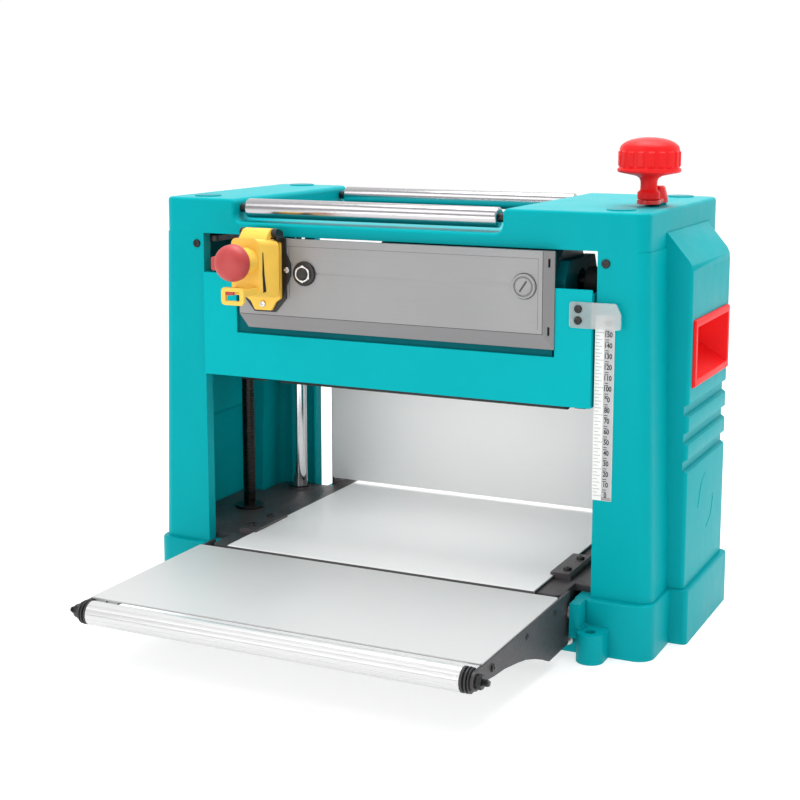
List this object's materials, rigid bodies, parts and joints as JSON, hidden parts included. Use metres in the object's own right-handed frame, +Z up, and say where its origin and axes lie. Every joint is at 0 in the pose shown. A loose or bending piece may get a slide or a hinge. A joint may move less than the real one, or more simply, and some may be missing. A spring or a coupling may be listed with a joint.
{
  "type": "thickness planer",
  "caption": "Bench thickness planer: a cutting head rides on posts over a flat bed, set by a top crank, with folding tables front and rear and a covered switch.",
  "frame": {"origin": "centre of the four bench-bolt holes, on the underside of the base", "axes": "+X across the machine to the crank side, +Y the feed direction from the operator to the outfeed side, +Z up"},
  "size_m": [0.575, 0.5446, 0.478],
  "materials": {
    "base_casting": "painted gloss",
    "bed_casting": "painted satin",
    "bed_plate": "brushed",
    "bed_clips": "painted satin",
    "left_side_housing": "gloss",
    "right_side_housing": "gloss",
    "top_cover": "gloss",
    "crosshead_plates": "satin",
    "guide_posts": "polished",
    "frame_fasteners": "black oxide",
    "carry_handles": "satin",
    "depth_scale": "satin",
    "lead_screw_bushes": "black oxide",
    "pivot_pins": "plated",
    "table_stop_bolts": "plated",
    "lift_chain": "oiled",
    "right_lead_screw": "oiled black",
    "right_sprocket": "oiled",
    "crank_arm": "gloss",
    "crank_knob": "satin",
    "left_lead_screw": "oiled black",
    "left_sprocket": "oiled",
    "head_casting": "painted",
    "head_apron": "gloss",
    "front_panel": "brushed",
    "chip_deflector": "satin",
    "lead_nuts": "machined",
    "guide_bushes": "machined",
    "motor_housing": "cast",
    "brush_cap": "satin",
    "pointer_bracket": "clear plastic",
    "head_fasteners": "plated",
    "switch_base": "satin",
    "switch_backplate": "satin",
    "gearbox_cover": "satin",
    "drive_belt": "matt",
    "cutterhead_bearings": "ground",
    "cable_gland": "matt",
    "cutterhead": "turned",
    "cutter_knives": "ground",
    "knife_clamps": "machined",
    "cutterhead_pulley": "turned",
    "motor_armature": "lacquered",
    "infeed_feed_roller": "matt",
    "outfeed_feed_roller": "matt",
    "switch_lid": "satin",
    "stop_mushroom": "satin",
    "start_button": "satin",
    "stop_button": "satin",
    "reset_button": "satin",
    "infeed_sheet": "brushed",
    "infeed_brackets": "satin",
    "infeed_fasteners": "black oxide",
    "infeed_roller": "brushed",
    "outfeed_sheet": "brushed",
    "outfeed_brackets": "satin",
    "outfeed_fasteners": "black oxide",
    "outfeed_roller": "brushed",
    "return_roller_front": "drawn tube",
    "return_roller_rear": "drawn tube"
  },
  "bodies": {
    "frame": {"base_casting": "base_casting", "bed_casting": "bed_casting", "bed_plate": "bed_plate", "bed_clips": "bed_clips", "left_side_housing": "left_side_housing", "right_side_housing": "right_side_housing", "top_cover": "top_cover", "crosshead_plates": "crosshead_plates", "guide_posts": "guide_posts", "frame_fasteners": "frame_fasteners", "carry_handles": "carry_handles", "depth_scale": "depth_scale", "lead_screw_bushes": "lead_screw_bushes", "pivot_pins": "pivot_pins", "table_stop_bolts": "table_stop_bolts", "lift_chain": "lift_chain"},
    "right_screw": {"right_lead_screw": "right_lead_screw", "right_sprocket": "right_sprocket", "crank_arm": "crank_arm"},
    "knob": {"crank_knob": "crank_knob"},
    "left_screw": {"left_lead_screw": "left_lead_screw", "left_sprocket": "left_sprocket"},
    "head": {"head_casting": "head_casting", "head_apron": "head_apron", "front_panel": "front_panel", "chip_deflector": "chip_deflector", "lead_nuts": "lead_nuts", "guide_bushes": "guide_bushes", "motor_housing": "motor_housing", "brush_cap": "brush_cap", "pointer_bracket": "pointer_bracket", "head_fasteners": "head_fasteners", "switch_base": "switch_base", "switch_backplate": "switch_backplate", "gearbox_cover": "gearbox_cover", "drive_belt": "drive_belt", "cutterhead_bearings": "cutterhead_bearings", "cable_gland": "cable_gland"},
    "cutter": {"cutterhead": "cutterhead", "cutter_knives": "cutter_knives", "knife_clamps": "knife_clamps", "cutterhead_pulley": "cutterhead_pulley"},
    "armature": {"motor_armature": "motor_armature"},
    "infeed_feed": {"infeed_feed_roller": "infeed_feed_roller"},
    "outfeed_feed": {"outfeed_feed_roller": "outfeed_feed_roller"},
    "lid": {"switch_lid": "switch_lid"},
    "mushroom": {"stop_mushroom": "stop_mushroom"},
    "start": {"start_button": "start_button"},
    "stop": {"stop_button": "stop_button"},
    "reset": {"reset_button": "reset_button"},
    "infeed_table": {"infeed_sheet": "infeed_sheet", "infeed_brackets": "infeed_brackets", "infeed_fasteners": "infeed_fasteners"},
    "infeed_end_roller": {"infeed_roller": "infeed_roller"},
    "outfeed_table": {"outfeed_sheet": "outfeed_sheet", "outfeed_brackets": "outfeed_brackets", "outfeed_fasteners": "outfeed_fasteners"},
    "outfeed_end_roller": {"outfeed_roller": "outfeed_roller"},
    "front_return_roller": {"return_roller_front": "return_roller_front"},
    "rear_return_roller": {"return_roller_rear": "return_roller_rear"}
  },
  "joints": [
    {"name": "head_slide", "type": "slide", "parent": "frame", "child": "head", "axis": [0, 0, 1], "range_m": [-0.146, 0.002]},
    {"name": "right_screw_turn", "type": "hinge", "parent": "frame", "child": "right_screw", "pos_m": [0.23, -0.009, 0.2], "axis": [0, 0, 1], "continuous": true},
    {"name": "left_screw_turn", "type": "hinge", "parent": "frame", "child": "left_screw", "pos_m": [-0.23, -0.009, 0.2], "axis": [0, 0, 1], "continuous": true},
    {"name": "knob_spin", "type": "hinge", "parent": "right_screw", "child": "knob", "pos_m": [0.23, -0.036, 0.45], "axis": [0, 0, 1], "continuous": true},
    {"name": "cutterhead_spin", "type": "hinge", "parent": "head", "child": "cutter", "pos_m": [0, 0, 0.241], "axis": [1, 0, 0], "continuous": true},
    {"name": "motor_spin", "type": "hinge", "parent": "head", "child": "armature", "pos_m": [0, -0.072, 0.3438], "axis": [1, 0, 0], "continuous": true},
    {"name": "infeed_feed_spin", "type": "hinge", "parent": "head", "child": "infeed_feed", "pos_m": [0, -0.052, 0.2305], "axis": [1, 0, 0], "continuous": true},
    {"name": "outfeed_feed_spin", "type": "hinge", "parent": "head", "child": "outfeed_feed", "pos_m": [0, 0.052, 0.2305], "axis": [1, 0, 0], "continuous": true},
    {"name": "switch_lid_hinge", "type": "hinge", "parent": "head", "child": "lid", "pos_m": [-0.1315, -0.1435, 0.383], "axis": [-1, 0, 0], "range_deg": [0, 100]},
    {"name": "stop_mushroom_press", "type": "slide", "parent": "lid", "child": "mushroom", "axis": [0, 1, 0], "range_m": [0, 0.004], "stiffness_N_per_m": 500, "springref_m": -0.002},
    {"name": "start_button_press", "type": "slide", "parent": "head", "child": "start", "axis": [0, 1, 0], "range_m": [0, 0.004], "stiffness_N_per_m": 400, "springref_m": -0.002},
    {"name": "stop_button_press", "type": "slide", "parent": "head", "child": "stop", "axis": [0, 1, 0], "range_m": [0, 0.004], "stiffness_N_per_m": 400, "springref_m": -0.002},
    {"name": "reset_button_press", "type": "slide", "parent": "head", "child": "reset", "axis": [0, 1, 0], "range_m": [0, 0.003], "stiffness_N_per_m": 600, "springref_m": -0.002},
    {"name": "infeed_fold", "type": "hinge", "parent": "frame", "child": "infeed_table", "pos_m": [0, -0.141, 0.0425], "axis": [-1, 0, 0], "range_deg": [0, 85]},
    {"name": "infeed_roller_spin", "type": "hinge", "parent": "infeed_table", "child": "infeed_end_roller", "pos_m": [0, -0.3615, 0.0535], "axis": [1, 0, 0], "continuous": true},
    {"name": "outfeed_fold", "type": "hinge", "parent": "frame", "child": "outfeed_table", "pos_m": [0, 0.141, 0.0425], "axis": [1, 0, 0], "range_deg": [-90, 0]},
    {"name": "outfeed_roller_spin", "type": "hinge", "parent": "outfeed_table", "child": "outfeed_end_roller", "pos_m": [0, 0.13, 0.263], "axis": [1, 0, 0], "continuous": true},
    {"name": "return_front_spin", "type": "hinge", "parent": "frame", "child": "front_return_roller", "pos_m": [0, -0.107, 0.4037], "axis": [1, 0, 0], "continuous": true},
    {"name": "return_rear_spin", "type": "hinge", "parent": "frame", "child": "rear_return_roller", "pos_m": [0, 0.107, 0.4037], "axis": [1, 0, 0], "continuous": true}
  ],
  "couplings": [
    {"joint": "right_screw_turn", "follows": "head_slide", "rad_per_m": -3141.6},
    {"joint": "left_screw_turn", "follows": "head_slide", "rad_per_m": -3141.6},
    {"joint": "motor_spin", "follows": "cutterhead_spin", "ratio": 2},
    {"joint": "infeed_feed_spin", "follows": "cutterhead_spin", "ratio": -0.0088},
    {"joint": "outfeed_feed_spin", "follows": "cutterhead_spin", "ratio": -0.0088},
    {"joint": "stop_button_press", "follows": "stop_mushroom_press", "ratio": 1}
  ]
}
